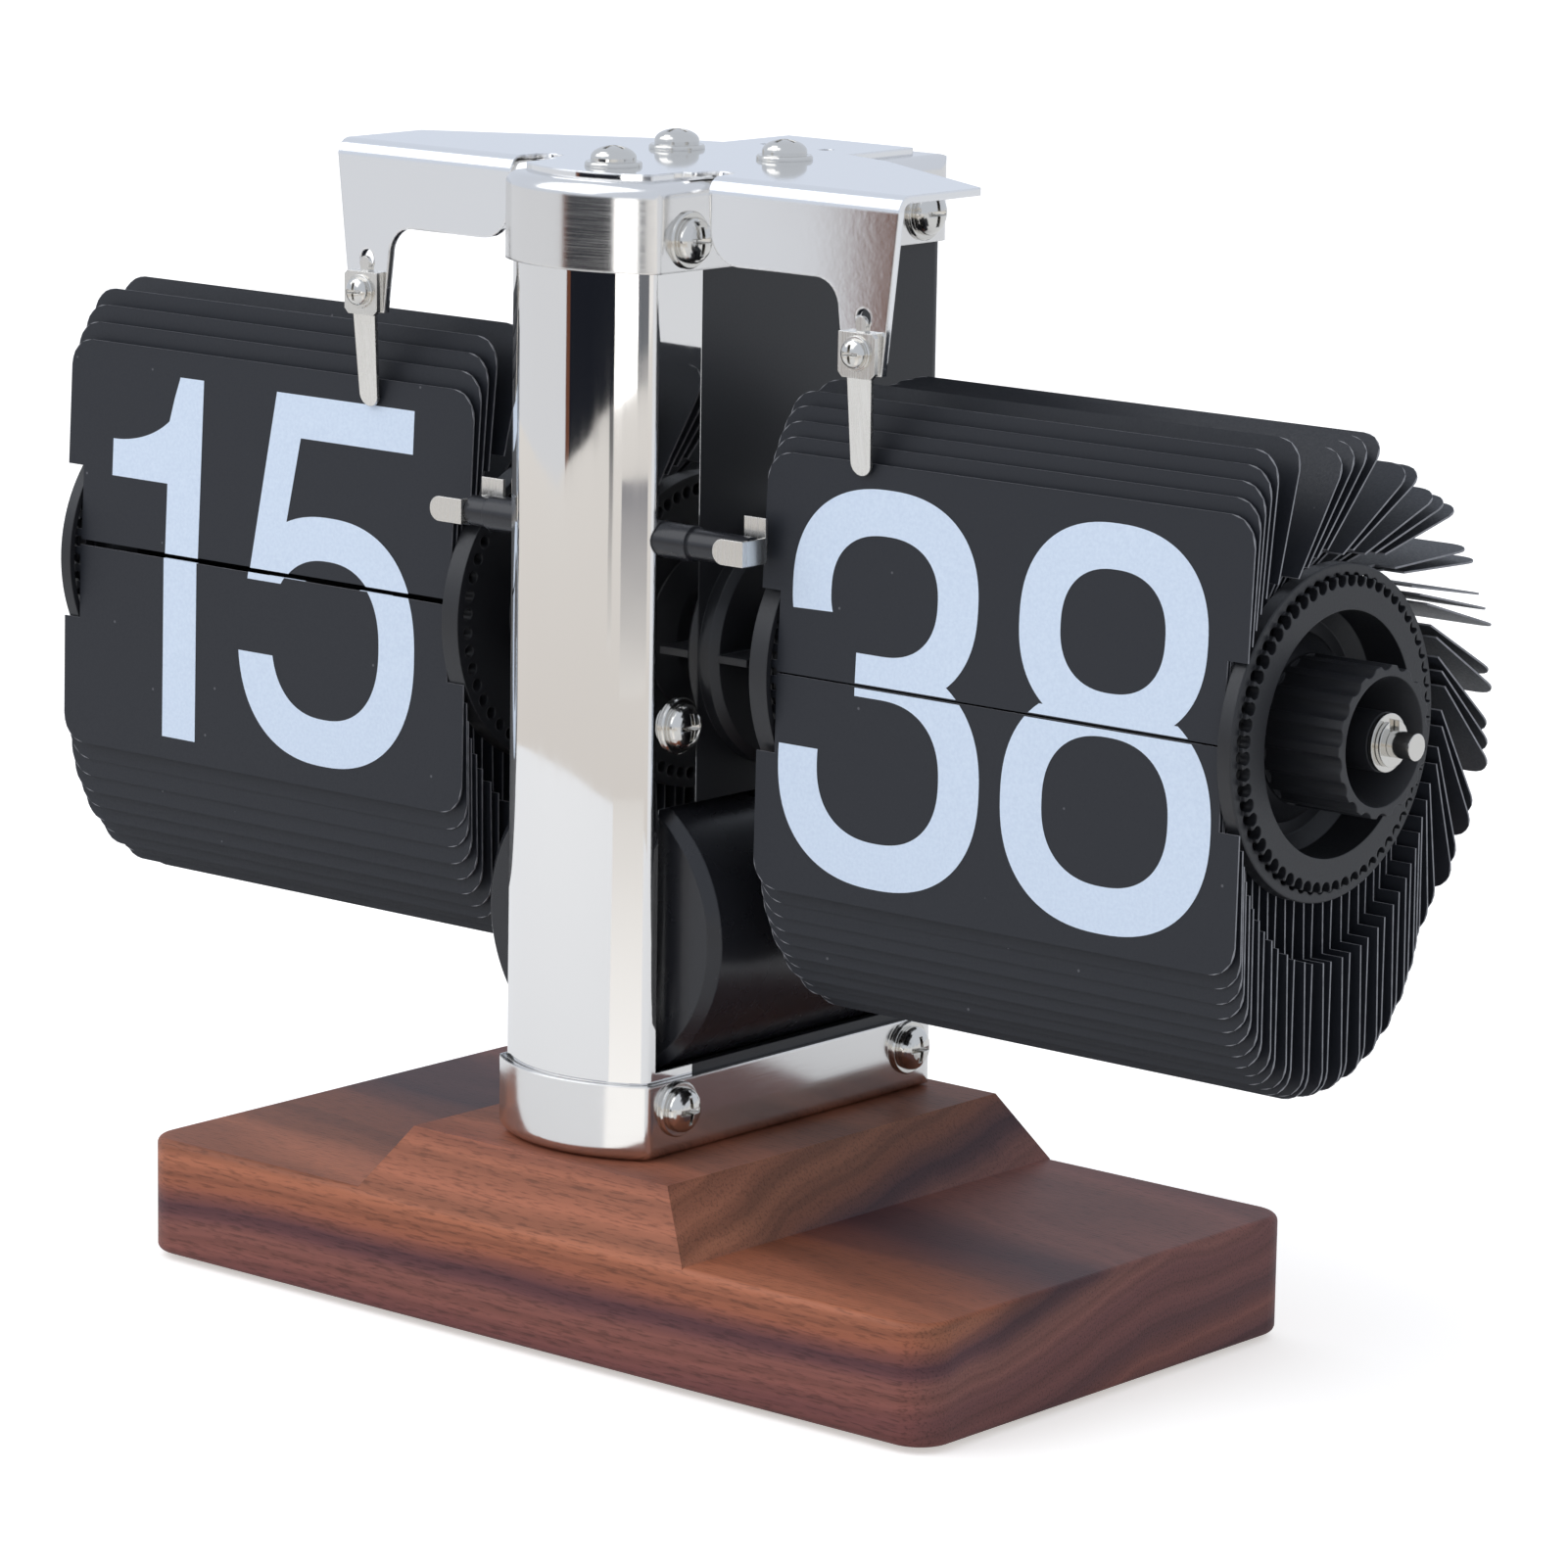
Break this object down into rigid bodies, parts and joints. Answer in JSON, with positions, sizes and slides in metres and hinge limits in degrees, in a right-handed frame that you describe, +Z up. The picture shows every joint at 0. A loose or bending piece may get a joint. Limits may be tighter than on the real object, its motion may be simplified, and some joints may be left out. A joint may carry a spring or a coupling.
{
  "type": "flip clock",
  "caption": "Desk flip clock: hour and minute drums of hinged leaves on one axle, geared together in a steel-capped column on a shaped wooden base.",
  "frame": {"origin": "middle of the footprint, on the plane of the foot pads", "axes": "+X along the axle to the minute drum and its knob, -Y to the side that is read, +Z up"},
  "size_m": [0.2698, 0.091, 0.1855],
  "materials": {
    "walnut": "oiled, satin",
    "pad": "matte",
    "polished_steel": "mirror polished",
    "screw_steel": "bright",
    "gloss_black": "gloss",
    "satin_black": "satin",
    "leaf": "satin",
    "brass": "machined",
    "cell": "gloss wrap"
  },
  "bodies": {
    "frame": {"wooden_base": "walnut", "foot_pads": "pad", "bottom_cap": "polished_steel", "front_cover": "polished_steel", "top_cap": "polished_steel", "arm_plate": "polished_steel", "base_screws": "screw_steel", "base_nuts": "screw_steel", "hour_finger": "screw_steel", "minute_finger": "screw_steel", "finger_screws": "screw_steel", "top_screws": "screw_steel", "cap_screws": "screw_steel", "movement_screws": "screw_steel", "axle": "screw_steel", "axle_washers": "screw_steel", "axle_clips": "screw_steel", "stop_clips": "screw_steel", "motor": "screw_steel", "battery_barrel": "gloss_black", "stop_bar": "gloss_black", "rear_cover": "satin_black", "movement_frame": "satin_black", "battery_cradle": "satin_black", "minute_upper_leaves": "leaf", "minute_fan_leaves": "leaf", "minute_lower_leaves": "leaf", "hour_upper_leaves": "leaf", "hour_fan_leaves": "leaf", "hour_lower_leaves": "leaf", "battery_contacts": "brass", "battery_cell": "cell"},
    "minute_drum": {"minute_pinion": "brass", "minute_hub": "satin_black", "minute_inner_disc": "satin_black", "minute_outer_disc": "satin_black", "minute_knob": "satin_black"},
    "hour_drum": {"hour_wheel": "brass", "hour_hub": "satin_black", "hour_inner_disc": "satin_black", "hour_outer_disc": "satin_black", "hour_collar": "satin_black"},
    "carry": {"carry_arbor": "screw_steel", "carry_wheel": "brass", "carry_pinion": "brass"},
    "motor_output": {"motor_pinion": "brass"},
    "minute_front_leaf": {"minute_flap": "leaf"},
    "hour_front_leaf": {"hour_flap": "leaf"},
    "battery_door": {"battery_cap": "gloss_black"}
  },
  "joints": [
    {"name": "minute_drum_turn", "type": "hinge", "parent": "frame", "child": "minute_drum", "pos_m": [0, -0.002, 0.108], "axis": [1, 0, 0], "continuous": true},
    {"name": "hour_drum_turn", "type": "hinge", "parent": "frame", "child": "hour_drum", "pos_m": [0, -0.002, 0.108], "axis": [1, 0, 0], "continuous": true},
    {"name": "carry_turn", "type": "hinge", "parent": "frame", "child": "carry", "pos_m": [0, -0.002, 0.129], "axis": [1, 0, 0], "continuous": true},
    {"name": "motor_turn", "type": "hinge", "parent": "frame", "child": "motor_output", "pos_m": [0, -0.002, 0.15], "axis": [1, 0, 0], "continuous": true},
    {"name": "minute_leaf_fall", "type": "hinge", "parent": "frame", "child": "minute_front_leaf", "pos_m": [0, -0.02495, 0.1076], "axis": [-1, 0, 0], "range_deg": [0, 150]},
    {"name": "hour_leaf_fall", "type": "hinge", "parent": "frame", "child": "hour_front_leaf", "pos_m": [0, -0.0249, 0.10948], "axis": [-1, 0, 0], "range_deg": [0, 150]},
    {"name": "battery_cap_twist", "type": "hinge", "parent": "frame", "child": "battery_door", "pos_m": [0, 0.041, 0.0648], "axis": [0, 1, 0], "range_deg": [0, 90]}
  ],
  "couplings": [
    {"joint": "hour_drum_turn", "follows": "minute_drum_turn", "ratio": 0.041667},
    {"joint": "carry_turn", "follows": "minute_drum_turn", "ratio": -0.25},
    {"joint": "motor_turn", "follows": "minute_drum_turn", "ratio": 1}
  ]
}
